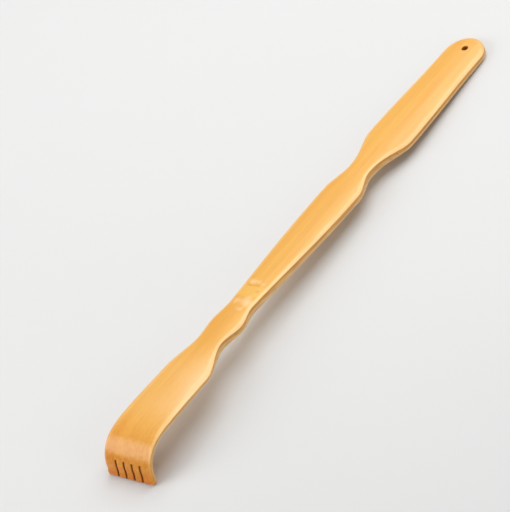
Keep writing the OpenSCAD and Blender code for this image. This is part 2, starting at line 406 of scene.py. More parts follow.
def join_rings(skin, zones, a, b, gaps=()):
    """Faces between two rings with as many columns; the columns in gaps are left open."""
    for k in range(len(a.top) - 1):
        if k not in gaps:
            skin.join(zones, a.top[k : k + 2], b.top[k : k + 2])
            skin.join(zones, a.bottom[k : k + 2], b.bottom[k : k + 2])
    skin.join(zones, a.left, b.left)
    skin.join(zones, a.right, b.right)


def join_all(skin, zones, rings):
    """Faces between each ring and the next."""
    for a, b in zip(rings, rings[1:]):
        join_rings(skin, zones, a, b)


def close_ring(skin, zones, ring):
    """A grid of faces over a ring."""
    before = ring.left
    for top, bottom in zip(ring.top[1:-1], ring.bottom[1:-1]):
        chain = skin.wall(top, bottom)
        skin.join(zones, before, chain)
        before = chain
    skin.join(zones, before, ring.right)


def quarter_steps(width, steps):
    """Offsets over a quarter-round, close together at its outer edge."""
    return width * (1 - np.cos(QUARTER * np.arange(steps + 1) / steps))


def edge_steps(width):
    """Offsets from the outline over the arris and the eased edge, short of its inner end."""
    crowded = (np.arange(EASED_STEPS) / EASED_STEPS) ** EASED_CROWDING
    arris = quarter_steps(ARRIS_R, ARRIS_STEPS)[:-1]
    return np.concatenate((arris, ARRIS_R + (width - ARRIS_R) * crowded))


def tooth_span(i, core):
    """Where a tooth starts and ends across the strip; the outer two reach the eased edges."""
    low = -core if i == 0 else slit_place(i - 1) + KERF / 2
    high = core if i == SLIT_COUNT else slit_place(i) - KERF / 2
    return low, high


def tooth_columns(i, d, lipped):
    """Places across one tooth, or across the strip's stretch in line with it, from left to right."""
    half = float(half_width(np.array(d)))
    edge = float(along(EDGE_WIDTHS, d))
    low, high = tooth_span(i, half - edge)
    none = np.array(())
    fan = edge_steps(edge)
    lip = quarter_steps(LIP_W, LIP_STEPS)[1:] if lipped else none
    core = np.linspace(low, high, TOOTH_STEPS + 1)
    left = fan - half if i == 0 else none
    left_lip = none if i == 0 else low + lip
    right = half - fan[::-1] if i == SLIT_COUNT else none
    right_lip = none if i == SLIT_COUNT else high - lip[::-1]
    return np.concatenate((left, core[:1], left_lip, core[1:-1], right_lip, core[-1:], right))


def claw_columns(d, lipped):
    """Places across the whole claw, tooth by tooth."""
    return np.concatenate([tooth_columns(i, d, lipped) for i in range(SLIT_COUNT + 1)])


def strip_columns(d):
    """Places across the strip above the claw: the claw's own, drawn in to the width there."""
    half = float(half_width(np.array(d)))
    edge = float(along(EDGE_WIDTHS, d))
    claw_core = claw_columns(SLIT_LEN, False)[FAN_STEPS:-FAN_STEPS]
    core = claw_core / (CLAW_W / 2 - EDGE_W_CLAW) * (half - edge)
    fan = edge_steps(edge)
    return np.concatenate((fan - half, core, half - fan[::-1]))


def spaced(low, high, step):
    """Evenly spaced places after the first, no further apart than the step."""
    count = math.ceil((high - low) / step)
    return np.linspace(low, high, count + 1)[1:]


def draw_teeth(skin, root):
    """The teeth from their tips to the root ring, with the walls and roots of the saw cuts."""
    rounded = quarter_steps(CORNER_R, TIP_ROWS)
    rows = np.concatenate((rounded, spaced(CORNER_R, SLIT_LEN, BEND_ROW_STEP)[:-1]))
    ends = []
    first = 0
    for i in range(SLIT_COUNT + 1):
        zone = f"tooth_{i + 1}"
        left_sawn = 0.0 if i == 0 else 1.0
        right_sawn = 0.0 if i == SLIT_COUNT else 1.0
        rings = [draw_ring(skin, d, tooth_columns(i, d, True), left_sawn, right_sawn) for d in rows]
        part = slice(first, first + len(rings[0].top))
        end = Ring(skin, root.top[part], root.bottom[part], left_sawn, right_sawn)
        if i == 0:
            end.left = root.left
        if i == SLIT_COUNT:
            end.right = root.right
        close_ring(skin, (zone,), rings[0])
        join_all(skin, (zone,), rings + [end])
        close_ring(skin, (zone, "claw_bend"), end)
        ends.append(end)
        first = part.stop
    for before, after in zip(ends, ends[1:]):
        skin.join(("claw_bend",), before.right, after.left)


def draw_fine_to_plain(skin, zones, fine, plain):
    """Faces from a ring with lip columns to one without: a plain column pair may meet several fine ones."""
    fine_ws = skin.plan(fine.top)[1]
    places = [int(np.argmin(np.abs(fine_ws - w))) for w in skin.plan(plain.top)[1]]
    for k in range(len(places) - 1):
        span = slice(places[k], places[k + 1] + 1)
        skin.faces.append((tuple(fine.top[span]) + (plain.top[k + 1], plain.top[k]), zones))
        skin.faces.append((tuple(fine.bottom[span]) + (plain.bottom[k + 1], plain.bottom[k]), zones))
    skin.join(zones, fine.left, plain.left)
    skin.join(zones, fine.right, plain.right)


def draw_bend(skin):
    """The bend from the ends of the saw cuts, with their lips, to the plate; returns its end rings."""
    zones = ("claw_bend",)
    lip_rows = SLIT_LEN + quarter_steps(LIP_W, LIP_STEPS)
    fine = [draw_ring(skin, d, claw_columns(d, True)) for d in lip_rows]
    plain = [draw_ring(skin, d, strip_columns(d)) for d in spaced(lip_rows[-1], PLATE_AT, BEND_ROW_STEP)]
    join_all(skin, zones, fine)
    draw_fine_to_plain(skin, zones, fine[-1], plain[0])
    join_all(skin, zones, plain)
    return fine[0], plain[-1]


def butt_plan(columns):
    """Rows over the half circle of the butt, as places along and across for each column."""
    u = columns / BUTT_R
    core = np.linspace(0, 1 - EDGE_W_SWELL / BUTT_R, BUTT_ROWS + 1)[1:]
    rows = np.concatenate((core, 1 - edge_steps(EDGE_W_SWELL)[::-1] / BUTT_R))
    return [
        (BUTT_AT + BUTT_R * v * np.sqrt(1 - u * u / 2), BUTT_R * u * np.sqrt(1 - v * v / 2))
        for v in rows
    ]


def hole_chain(skin, top_corner, bottom_corner):
    """Points from a corner of the open patch in the upper face through the hole to the lower face."""
    d, w = skin.plan((top_corner,))[:, 0]
    reach = math.hypot(d - HOLE_AT, w)
    turns = QUARTER * np.arange(1, RIM_STEPS + 1) / RIM_STEPS
    run = np.linspace(reach, HOLE_R + HOLE_ROUND, HOLE_RINGS + 1)[1:]
    rim = HOLE_R + HOLE_ROUND * (1 - np.sin(turns))
    away = np.concatenate((run, rim))
    ds = HOLE_AT + (d - HOLE_AT) / reach * away
    ws = w / reach * away
    sink = np.concatenate((np.zeros(HOLE_RINGS), HOLE_ROUND * (1 - np.cos(turns))))
    sawn = np.concatenate((np.zeros(HOLE_RINGS), turns / QUARTER))
    top = skin.row(ds, ws, top_height(ds, ws) - sink, sawn)
    bottom = skin.row(ds, ws, under_height(ds, ws) + sink, sawn)
    bore = skin.wall(top[-1], bottom[-1], 1.0)
    return [top_corner] + top[:-1] + bore + bottom[-2::-1] + [bottom_corner]


def draw_hole(skin, zones, rings, left, right):
    """The hanging hole, in the patch that the rings leave open between two columns."""
    last = len(rings) - 1
    around = [(i, left) for i in range(last)]
    around += [(last, j) for j in range(left, right)]
    around += [(i, right) for i in range(last, 0, -1)]
    around += [(0, j) for j in range(right, left, -1)]
    chains = [hole_chain(skin, rings[i].top[j], rings[i].bottom[j]) for i, j in around]
    for a, b in zip(chains, chains[1:] + chains[:1]):
        skin.join(zones, a, b)


def draw_grip(skin, waist):
    """The grip from the upper waist's ring to the round butt, with the hanging hole."""
    zones = ("grip",)
    rings = [waist]
    rings += [draw_ring(skin, d, strip_columns(d)) for d in spaced(UPPER_WAIST_AT, BUTT_AT, ROW_STEP)]
    rings += [draw_ring(skin, ds, ws) for ds, ws in butt_plan(strip_columns(BUTT_AT))]
    plans = [skin.plan(ring.top) for ring in rings]
    middle = len(waist.top) // 2
    held = [i for i, (ds, _) in enumerate(plans) if abs(ds[middle] - HOLE_AT) < HOLE_PATCH]
    columns = [j for j, w in enumerate(plans[held[0]][1]) if abs(w) < HOLE_PATCH]
    patch = range(columns[0], columns[-1])
    for i, (a, b) in enumerate(zip(rings, rings[1:])):
        join_rings(skin, zones, a, b, patch if i in held[:-1] else ())
    draw_hole(skin, zones, [rings[i] for i in held], columns[0], columns[-1])
    close_ring(skin, zones, rings[-1])


def draw_strip():
    """The whole strip, zone by zone from the teeth to the butt."""
    skin = Skin()
    root, last = draw_bend(skin)
    draw_teeth(skin, root)
    zone_before = "claw_bend"
    for zone, start, end in STRAIGHT_ZONES:
        rings = [last] + [draw_ring(skin, d, strip_columns(d)) for d in spaced(start, end, ROW_STEP)]
        close_ring(skin, (zone_before, zone), last)
        join_all(skin, (zone,), rings)
        last = rings[-1]
        zone_before = zone
    close_ring(skin, (zone_before, "grip"), last)
    draw_grip(skin, last)
    return skin


def closed_mesh(name, places, faces):
    """A mesh of the points that the faces use, turned outwards; also gives those points' numbers."""
    used = sorted({k for face in faces for k in face})
    number = {old: new for new, old in enumerate(used)}
    mesh = bpy.data.meshes.new(name)
    mesh.from_pydata(places[used].tolist(), [], [[number[k] for k in face] for face in faces])
    shape = bmesh.new()
    shape.from_mesh(mesh)
    bmesh.ops.recalc_face_normals(shape, faces=shape.faces)
    shape.to_mesh(mesh)
    shape.free()
    mesh.polygons.foreach_set("use_smooth", [True] * len(mesh.polygons))
    mesh.update()
    return mesh, used


def skin_normals(skin, places):
    """Outward direction at each point of the unparted skin."""
    mesh, used = closed_mesh("whole_skin", places, [face for face, zones in skin.faces if len(zones) == 1])
    found = np.zeros(len(used) * 3)
    mesh.vertices.foreach_get("normal", found)
    normals = np.zeros((len(places), 3))
    normals[used] = found.reshape(-1, 3)
    bpy.data.meshes.remove(mesh)
    return normals


def facing(normals, headings):
    """Outward directions in the strip's own sense: along it, across it and away from its underside."""
    run = normals @ TO_BUTT
    rise = normals @ UP
    lengthwise = run * np.cos(headings) + rise * np.sin(headings)
    outward = rise * np.cos(headings) - run * np.sin(headings)
    return np.stack((lengthwise, normals @ ACROSS, outward), axis=1)


def zone_piece(zone, skin, places, normals, fields):
    """One zone's object, shaded as part of the whole skin, with its fields kept for the material."""
    faces = [(face, zones) for face, zones in skin.faces if zone in zones]
    mesh, used = closed_mesh("bamboo_" + zone, places, [face for face, _ in faces])
    corners = []
    for polygon, (_, zones) in zip(mesh.polygons, faces):
        inside = len(zones) > 1
        corners += [polygon.normal if inside else normals[used[k]] for k in polygon.vertices]
    mesh.normals_split_custom_set(corners)
    for name, values in fields.items():
        kept = mesh.attributes.new(name, "FLOAT_VECTOR", "POINT")
        kept.data.foreach_set("vector", np.ravel(values[used]))
    piece = bpy.data.objects.new("bamboo_" + zone, mesh)
    bpy.context.scene.collection.objects.link(piece)
    return piece


def make_pieces():
    """The strip's zones as separate closed pieces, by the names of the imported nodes."""
    skin = draw_strip()
    d, w, n, sawn = np.array(skin.points).T
    places = placed(d, w, n)
    normals = skin_normals(skin, places)
    depth = plain_top(d, w, 0.0) - n
    fields = {
        "strip": np.stack((d, w, n), axis=1),
        "facing": facing(normals, pose(d)[2]),
        "edge": np.stack((edge_gap(d, w) / along(EDGE_WIDTHS, d), depth, sawn), axis=1),
    }
    return {zone: zone_piece(zone, skin, places, normals, fields) for zone in frame["nodes"]}


class Shader:
    """Short calls for adding nodes to a material."""

    def __init__(self, name):
        self.material = bpy.data.materials.new(name)
        self.material.use_nodes = True
        self.tree = self.material.node_tree
        self.tree.nodes.clear()

    def feed(self, socket, value):
        """Links another node's output to a socket, or sets the socket's own value."""
        if isinstance(value, bpy.types.NodeSocket):
            self.tree.links.new(value, socket)
        else:
            socket.default_value = value

    def node(self, kind, inputs, **settings):
        """Adds a node with its settings and its inputs by name or number."""
        node = self.tree.nodes.new(kind)
        for name, value in settings.items():
            setattr(node, name, value)
        for socket, value in inputs.items():
            self.feed(node.inputs[socket], value)
        return node

    def math(self, operation, *values):
        """A number worked out from one to three others."""
        return self.node("ShaderNodeMath", dict(enumerate(values)), operation=operation).outputs[0]

    def product(self, first, *others):
        """Several numbers multiplied together."""
        for other in others:
            first = self.math("MULTIPLY", first, other)
        return first

    def reach(self, a, b):
        """Length of a flat vector."""
        return self.math("SQRT", self.math("ADD", self.product(a, a), self.product(b, b)))

    def stretch(self, vector, scale):
        """A vector scaled by a different factor along each axis."""
        return self.node("ShaderNodeVectorMath", {0: vector, 1: scale}, operation="MULTIPLY").outputs[0]

    def smooth(self, value, low, high, to_low=0.0, to_high=1.0):
        """A smooth step from one value to another as the input goes from low to high."""
        inputs = {0: value, 1: low, 2: high, 3: to_low, 4: to_high}
        return self.node("ShaderNodeMapRange", inputs, interpolation_type="SMOOTHSTEP").outputs[0]

    def noise(self, vector, detail):
        """Cloudy noise with features about one unit long."""
        inputs = {"Vector": vector, "Scale": 1.0, "Detail": detail}
        return self.node("ShaderNodeTexNoise", inputs).outputs["Fac"]

    def grain(self, place, kind):
        """Noise stretched along the strip, for a kind of grain: its features per metre and its detail."""
        features, detail = kind
        return self.noise(self.stretch(place, features), detail)

    def dots(self, vector):
        """Distance from the nearest of many scattered points about one unit apart."""
        return self.node("ShaderNodeTexVoronoi", {"Vector": vector, "Scale": 1.0}).outputs["Distance"]

    def mix(self, factor, a, b, blend="MIX"):
        """A colour between two others; inputs 6 and 7 and output 2 are the node's colours."""
        node = self.node("ShaderNodeMix", {0: factor, 6: a, 7: b}, data_type="RGBA", blend_type=blend)
        return node.outputs[2]

    def field(self, name):
        """The three numbers of one of the mesh's own fields."""
        vector = self.node("ShaderNodeAttribute", {}, attribute_name=name).outputs["Vector"]
        return self.node("ShaderNodeSeparateXYZ", {0: vector}).outputs

    def join(self, x, y, z):
        """A vector of three numbers."""
        return self.node("ShaderNodeCombineXYZ", {0: x, 1: y, 2: z}).outputs[0]


# Linear colours of the bamboo
SKIN_DEEP = (0.80, 0.37, 0.05, 1)
SKIN_PALE = (0.85, 0.44, 0.078, 1)
# Paler head colour: its own paler tone, and towards the right edge a painted highlight
HEAD_PALE_AND_HIGHLIGHT = (0.90, 0.50, 0.17, 1)
# Pale edge colour: sanded wear, and over it a painted highlight
EDGE_PALE_AND_HIGHLIGHT = (0.93, 0.61, 0.26, 1)
WALL_OUTER = (0.69, 0.285, 0.034, 1)
WALL_INNER = (0.82, 0.49, 0.18, 1)
UNDER_DEEP = (0.70, 0.38, 0.11, 1)
UNDER_PALE = (0.80, 0.50, 0.19, 1)
FIBRE_DARK = (0.44, 0.18, 0.03, 1)
BUD_DARK = (0.44, 0.16, 0.03, 1)
SCAR_DARK = (0.64, 0.20, 0.025, 1)
JOINT_BLOOM = (0.94, 0.64, 0.32, 1)
JOINT_YELLOW = (0.86, 0.51, 0.095, 1)
SAWN_DEEP = (0.40, 0.13, 0.012, 1)
# Tint of the lacquer's gloss, on the strip and on its toasted end
LACQUER = (1, 0.89, 0.68, 1)
LACQUER_TOASTED = (0.9, 0.65, 0.2, 1)
# What full heat leaves of each colour
TOASTED = (0.88, 0.53, 0.0, 1)

# Grain: features per metre along the strip, across it and through it, and how much finer detail they have
BROAD_TONE = ((9, 150, 150), 3.0)
LONG_LINES = ((16, 1300, 1300), 3.0)
SHORT_DASHES = ((110, 2600, 2600), 1.0)
WALL_BUNDLES = ((25, 800, 800), 2.0)
SOFT_CLOUDS = ((40, 60, 60), 2.0)
HEAT_MOTTLE = ((400, 700, 700), 2.0)
PALE_EDGE_WANDER = ((60, 250, 250), 2.0)
JOINT_WANDER = ((90, 190, 0), 3.0)
# Dots of the end grain per metre, the same three ways
END_DOTS = (0, 1500, 1500)
# Noise strays to both sides of this
NOISE_MIDDLE = 0.5

# How far a point has to face up, down or lengthwise to count as on a face or an end: not at all, and fully
UPPER_LIMITS = (0.15, 0.75)
LOWER_LIMITS = (-0.2, -0.75)
END_LIMITS = (0.5, 0.85)


class Surface:
    """What the material knows of a point: its place on the strip, its facing and the grain there.

    edge_share is its distance from the outline in widths of the eased edge, depth is how far it lies below
    the upper edge, and sawn is 1 on the walls of the saw cuts and the hole.
    """

    def __init__(self, s):
        self.d, self.w, self.n = s.field("strip")
        lengthwise, _, outward = s.field("facing")
        self.edge_share, self.depth, self.sawn = s.field("edge")
        self.place = s.join(self.d, self.w, self.n)
        self.upper = s.smooth(outward, *UPPER_LIMITS)
        self.lower = s.smooth(outward, *LOWER_LIMITS)
        self.faces = s.math("ADD", self.upper, self.lower)
        self.end = s.smooth(s.math("ABSOLUTE", lengthwise), *END_LIMITS)
        self.tone = s.grain(self.place, BROAD_TONE)
        self.lines = s.grain(self.place, LONG_LINES)
        self.dashes = s.grain(self.place, SHORT_DASHES)
        self.clouds = s.grain(self.place, SOFT_CLOUDS)


# Broad tone at which the skin and the underside are deep and pale
SKIN_LIMITS = (0.3, 0.7)
UNDER_LIMITS = (0.35, 0.65)
# Paler head: a paler tone of its own with a painted highlight over it, strongest at its right edge: where
# it sets in above the bend and is full, and how much of it the left edge has
HEAD_PALE_FROM = 0.92 * PLATE_AT
HEAD_PALE_FULL = 1.42 * PLATE_AT
HEAD_HIGHLIGHT_LEFT_SHARE = 0.1
# Side walls: the depths at which the outer and the inner layer's tones are full, and the inner one's
# extra share on the head
WALL_OUTER_DEPTH = 0.8 * MM
WALL_INNER_DEPTH = 3.2 * MM
HEAD_WALL_SHARE = 0.6


def bare_colour(s, at):
    """Colour without marks: the skin, paler on the head and more so to the right as painted highlight, the
    layered walls and the planed underside.
    """
    skin = s.mix(s.smooth(at.tone, *SKIN_LIMITS), SKIN_DEEP, SKIN_PALE)
    on_head = s.product(s.smooth(at.d, NECK_AT, NECK_FROM), s.smooth(at.d, HEAD_PALE_FROM, HEAD_PALE_FULL))
    # Painted highlight: the head grows paler towards its right edge
    painted_highlight_side = s.smooth(at.w, HEAD_W / 2, -HEAD_W / 2, HEAD_HIGHLIGHT_LEFT_SHARE, 1.0)
    skin = s.mix(s.product(on_head, painted_highlight_side), skin, HEAD_PALE_AND_HIGHLIGHT)
    wall = s.mix(s.smooth(at.depth, WALL_OUTER_DEPTH, WALL_INNER_DEPTH), WALL_OUTER, WALL_INNER)
    wall = s.mix(s.smooth(at.d, NECK_AT, NECK_FROM, 0.0, HEAD_WALL_SHARE), wall, WALL_INNER)
    under = s.mix(s.smooth(at.tone, *UNDER_LIMITS), UNDER_DEEP, UNDER_PALE)
    return s.mix(at.lower, s.mix(at.upper, wall, skin), under)


# Grain in the colour: the noise at which each kind sets in and is full, then its strength
CLOUD_LIMITS = (0.35, 0.75)
CLOUD_STRENGTH = 0.25
LINE_LIMITS = (0.48, 0.70)
LINES_ON_WALLS = 0.3
LINES_ON_FACES = 0.09
BUNDLE_LIMITS = (0.46, 0.66)
BUNDLES_ON_WALLS = 0.5
DASH_LIMITS = (0.60, 0.72)
DASH_STRENGTH = 0.17
DOT_LIMITS = (0.4, 0.2)
DOT_STRENGTH = 0.5
# How far a wall may turn to a face before its bundles are gone
BUNDLES_END = 0.6


def grained(s, at, colour):
    """Soft clouds, fibre lines, their bundles on the walls, short dashes and the dots of the end grain."""
    colour = s.mix(s.smooth(at.clouds, *CLOUD_LIMITS, 0.0, CLOUD_STRENGTH), colour, SKIN_PALE)
    line_strength = s.smooth(at.faces, 0.0, 1.0, LINES_ON_WALLS, LINES_ON_FACES)
    colour = s.mix(s.product(s.smooth(at.lines, *LINE_LIMITS), line_strength), colour, FIBRE_DARK)
    bundles = s.smooth(s.grain(at.place, WALL_BUNDLES), *BUNDLE_LIMITS)
    bundle_strength = s.smooth(at.faces, 0.0, BUNDLES_END, BUNDLES_ON_WALLS, 0.0)
    colour = s.mix(s.product(bundles, bundle_strength), colour, FIBRE_DARK)
    colour = s.mix(s.smooth(at.dashes, *DASH_LIMITS, 0.0, DASH_STRENGTH), colour, FIBRE_DARK)
    dots = s.smooth(s.dots(s.stretch(at.place, END_DOTS)), *DOT_LIMITS, 0.0, DOT_STRENGTH)
    return s.mix(s.product(dots, at.end), colour, FIBRE_DARK)


# Marks round the culm's joint, in millimetres from its middle
# Scar line: ahead of the joint, its ends across the strip, how far those fade, how far it wanders,
# half its width, then the strength
SCAR_AHEAD = 8
SCAR_LOW = -5
SCAR_HIGH = 9
SCAR_FADE = 3
SCAR_WANDER = 9
SCAR_HALF_W = 0.8
SCAR_STRENGTH = 0.58
# Bud ring: ahead of the joint, aside of the middle, radius, half the width of its line, then the strength
BUD_AHEAD = 2.5
BUD_ASIDE = -5
BUD_R = 1.1
BUD_HALF_W = 0.5
BUD_STRENGTH = 0.5
# Half the width in which both lines are darkest
LINE_CORE = 0.1
# Pale blooms: ahead of the joint, aside of the middle, half length, half width, then the strength
BLOOMS = (
    (11.5, 5.5, 3, 3.6, 0.6),
    (12.5, 0.5, 2.6, 3, 0.5),
    (11, -4, 2.2, 2.4, 0.5),
    (-10, -3.8, 5.6, 5.4, 0.8),
    (-10, 5.4, 3.6, 3.2, 0.5),
    (-18, -2.3, 2.8, 2.8, 0.45),
)
# How far their edges fray, and where a bloom ends and is full, as shares of its half size
BLOOM_FRAY = 2.2
BLOOM_LIMITS = (1.4, 0.1)
# Yellower stretch between the blooms: its middle ahead of the joint, half its length, half the length of
# its full tone, then the strength
YELLOW_AHEAD = 1.5
YELLOW_HALF = 8
YELLOW_CORE = 4
YELLOW_STRENGTH = 0.5


def joint_marks(s, at, colour):
    """The culm's joint: a yellower stretch, frayed pale blooms, a wandering scar line and a bud's ring."""
    ahead = s.math("DIVIDE", s.math("SUBTRACT", at.d, JOINT_AT), MM)
    aside = s.math("DIVIDE", at.w, MM)
    stray = s.math("SUBTRACT", s.grain(at.place, JOINT_WANDER), NOISE_MIDDLE)

    off = s.math("ABSOLUTE", s.math("SUBTRACT", ahead, YELLOW_AHEAD))
    yellow = s.smooth(off, YELLOW_HALF, YELLOW_CORE, 0.0, YELLOW_STRENGTH)
    colour = s.mix(s.product(yellow, at.upper), colour, JOINT_YELLOW)

    for bloom_ahead, bloom_aside, half_len, half_w, strength in BLOOMS:
        a = s.math("DIVIDE", s.math("SUBTRACT", ahead, bloom_ahead), half_len)
        b = s.math("DIVIDE", s.math("SUBTRACT", aside, bloom_aside), half_w)
        frayed = s.math("MULTIPLY_ADD", stray, BLOOM_FRAY, s.reach(a, b))
        bloom = s.smooth(frayed, *BLOOM_LIMITS, 0.0, strength)
        colour = s.mix(s.product(bloom, at.upper), colour, JOINT_BLOOM)

    off = s.math("MULTIPLY_ADD", stray, SCAR_WANDER, s.math("SUBTRACT", ahead, SCAR_AHEAD))
    line = s.smooth(s.math("ABSOLUTE", off), SCAR_HALF_W, LINE_CORE, 0.0, SCAR_STRENGTH)
    low_end = s.smooth(aside, SCAR_LOW, SCAR_LOW + SCAR_FADE)
    high_end = s.smooth(aside, SCAR_HIGH, SCAR_HIGH - SCAR_FADE)
    colour = s.mix(s.product(line, low_end, high_end, at.upper), colour, SCAR_DARK)

    reach = s.reach(s.math("SUBTRACT", ahead, BUD_AHEAD), s.math("SUBTRACT", aside, BUD_ASIDE))
    off = s.math("ABSOLUTE", s.math("SUBTRACT", reach, BUD_R))
    ring = s.smooth(off, BUD_HALF_W, LINE_CORE, 0.0, BUD_STRENGTH)
    return s.mix(s.product(ring, at.upper), colour, BUD_DARK)


# Heat on the bend: where it sets in, and where it would be full, past the tips
HEAT_FROM = 1.3 * PLATE_AT
HEAT_FULL = -0.1 * PLATE_AT
# How the mottle varies it, between which noise, and how much of it the walls take
MOTTLE_LIMITS = (0.35, 0.65)
HEAT_VARIES = (0.65, 1.25)
HEAT_ON_WALLS = 0.2
# Scorched tips: how far up they reach, and how strongly
SCORCH_REACH = 0.25 * PLATE_AT
SCORCH_STRENGTH = 0.5


def toasted(s, at, colour):
    """Browner where heat bent the strip, and again towards the tips."""
    mottle = s.smooth(s.grain(at.place, HEAT_MOTTLE), *MOTTLE_LIMITS, *HEAT_VARIES)
    heat = s.product(s.smooth(at.d, HEAT_FROM, HEAT_FULL), mottle)
    scorch = s.smooth(at.d, SCORCH_REACH, 0.0, 0.0, SCORCH_STRENGTH)
    taken = s.smooth(at.faces, 0.0, 1.0, HEAT_ON_WALLS, 1.0)
    for strength in (heat, scorch):
        browned = s.mix(1.0, colour, TOASTED, "MULTIPLY")
        colour = s.mix(s.product(strength, taken), colour, browned)
    return colour


# Pale upper edges, partly worn and partly painted highlight: how far they wander, and where they end and
# are full, in widths of the eased edge
PALE_EDGE_STRAY = 0.7
PALE_EDGE_LIMITS = (1.0, 0.65)
# Their strength out of the clouds and in them, and the noise between
PALE_EDGE_STRENGTHS = (0.39, 0.6)
PALE_EDGE_CLOUD_LIMITS = (0.3, 0.7)
# What is left of them at the tips, up to where, and from where they are whole
PALE_EDGE_AT_TIPS = 0.15
PALE_EDGE_TIPS_END = 0.1 * PLATE_AT
PALE_EDGE_WHOLE_FROM = 0.5 * PLATE_AT
# What is left of them on the left, where less painted highlight falls, and how far aside that begins
EDGE_HIGHLIGHT_ON_LEFT = 0.6
EDGE_HIGHLIGHT_LEFT_FROM = 0.25 * CLAW_W
# Pale lower edges, partly worn and partly painted highlight: how high they reach, up to where they are
# full, the same two inwards in widths of the eased edge, then the strength
LOW_PALE_EDGE_TOP = 1.6 * MM
LOW_PALE_EDGE_FULL = 0.3 * MM
LOW_PALE_EDGE_LIMITS = (0.5, 0.1)
LOW_PALE_EDGE_STRENGTH = 0.5


def worn_and_highlit(s, at, colour):
    """Paler along the edges: worn by sanding and use, with a painted highlight over them, stronger on the
    right.
    """
    stray = s.math("SUBTRACT", s.grain(at.place, PALE_EDGE_WANDER), NOISE_MIDDLE)
    share = s.math("MULTIPLY_ADD", stray, PALE_EDGE_STRAY, at.edge_share)
    strength = s.smooth(at.clouds, *PALE_EDGE_CLOUD_LIMITS, *PALE_EDGE_STRENGTHS)
    from_tips = s.smooth(at.d, PALE_EDGE_TIPS_END, PALE_EDGE_WHOLE_FROM, PALE_EDGE_AT_TIPS, 1.0)
    # Painted highlight: the edges paler on the right than on the left
    painted_highlight_side = s.smooth(at.w, EDGE_HIGHLIGHT_LEFT_FROM, -EDGE_HIGHLIGHT_LEFT_FROM, EDGE_HIGHLIGHT_ON_LEFT, 1.0)
    edge_wear_and_highlight = s.product(s.smooth(share, *PALE_EDGE_LIMITS), strength, at.upper, from_tips, painted_highlight_side)
    colour = s.mix(edge_wear_and_highlight, colour, EDGE_PALE_AND_HIGHLIGHT)
    # Paler lower edges: partly wear, partly a painted highlight
    low_edge_wear_and_highlight = s.smooth(at.edge_share, *LOW_PALE_EDGE_LIMITS, 0.0, LOW_PALE_EDGE_STRENGTH)
    low_edge_wear_and_highlight = s.product(s.smooth(at.n, LOW_PALE_EDGE_TOP, LOW_PALE_EDGE_FULL), low_edge_wear_and_highlight)
    return s.mix(low_edge_wear_and_highlight, colour, EDGE_PALE_AND_HIGHLIGHT)


# How much of the saw cuts' own tone their walls have
SAWN_STRENGTH = 0.85


def bamboo_colour(s, at):
    """The bare bamboo, its grain, the joint's marks, heat, edge wear with painted highlight, and the saw
    cuts, one over the other.
    """
    colour = bare_colour(s, at)
    for layer in (grained, joint_marks, toasted, worn_and_highlit):
        colour = layer(s, at, colour)
    return s.mix(s.product(at.sawn, SAWN_STRENGTH), colour, SAWN_DEEP)


# Lacquer: where its gloss is plain and where it is toasted, from the tips
GLOSS_PLAIN_FROM = 0.5 * PLATE_AT
GLOSS_TOASTED_TO = 0.3 * PLATE_AT
# Its roughness off the fibre lines and on them, their noise there, and how much rougher the underside is
SATIN = (0.28, 0.39)
SATIN_LIMITS = (0.3, 0.7)
UNDER_ROUGHER = 0.12
# Its relief: shares of the lines and the dashes, strength and height
LINE_RELIEF = 0.6
DASH_RELIEF = 0.4
RELIEF_STRENGTH = 0.25
RELIEF_HEIGHT = 0.06 * MM
LACQUER_IOR = 1.5
LACQUER_SPECULAR = 0.75
COAT_WEIGHT = 0.3
COAT_ROUGHNESS = 0.28


def bamboo_material():
    """Sanded bamboo under a clear satin lacquer, its grain following the strip round the bend."""
    s = Shader("lacquered_bamboo")
    at = Surface(s)
    gloss = s.mix(s.smooth(at.d, GLOSS_PLAIN_FROM, GLOSS_TOASTED_TO), LACQUER, LACQUER_TOASTED)
    satin = s.smooth(at.lines, *SATIN_LIMITS, *SATIN)
    relief = s.math("ADD", s.product(at.lines, LINE_RELIEF), s.product(at.dashes, DASH_RELIEF))
    bump = s.node(
        "ShaderNodeBump",
        {"Strength": RELIEF_STRENGTH, "Distance": RELIEF_HEIGHT, "Height": relief},
    )
    shader = s.node(
        "ShaderNodeBsdfPrincipled",
        {
            "Base Color": bamboo_colour(s, at),
            "Roughness": s.math("MULTIPLY_ADD", at.lower, UNDER_ROUGHER, satin),
            "Normal": bump.outputs[0],
            "IOR": LACQUER_IOR,
            "Specular IOR Level": LACQUER_SPECULAR,
            "Specular Tint": gloss,
            "Coat Weight": COAT_WEIGHT,
            "Coat Roughness": COAT_ROUGHNESS,
        },
    )
    s.node("ShaderNodeOutputMaterial", {"Surface": shader.outputs[0]})
    return s.material


# Floor: half its side, its two tones, the noise between them and its detail, and the roughness
FLOOR_HALF = 30.0
FLOOR_DEEP = (0.70, 0.70, 0.695, 1)
FLOOR_PALE = (0.73, 0.73, 0.725, 1)
FLOOR_LIMITS = (0.3, 0.7)
FLOOR_DETAIL = 3.0
FLOOR_ROUGHNESS = 0.85
# Away from the strip the floor shows as one plain pale tone: where that sets in and is full, and its level
PLAIN_FROM = 0.6
PLAIN_FULL = 1.8
PLAIN_LEVEL = 0.86
# Level of the even fill
FILL = 0.35
# Soft boxes: name, direction from the strip, distance, side, radiance
SOFT_BOXES = (
    ("overhead", (0.5, 0.06, 0.86), 1.4, 1.4, 2.85),
    ("side", (-0.6, 0.55, 0.5), 1.5, 1.12, 2.6),
    ("right", (-0.1, -0.9, 0.3), 1.6, 0.8, 1.7),
)


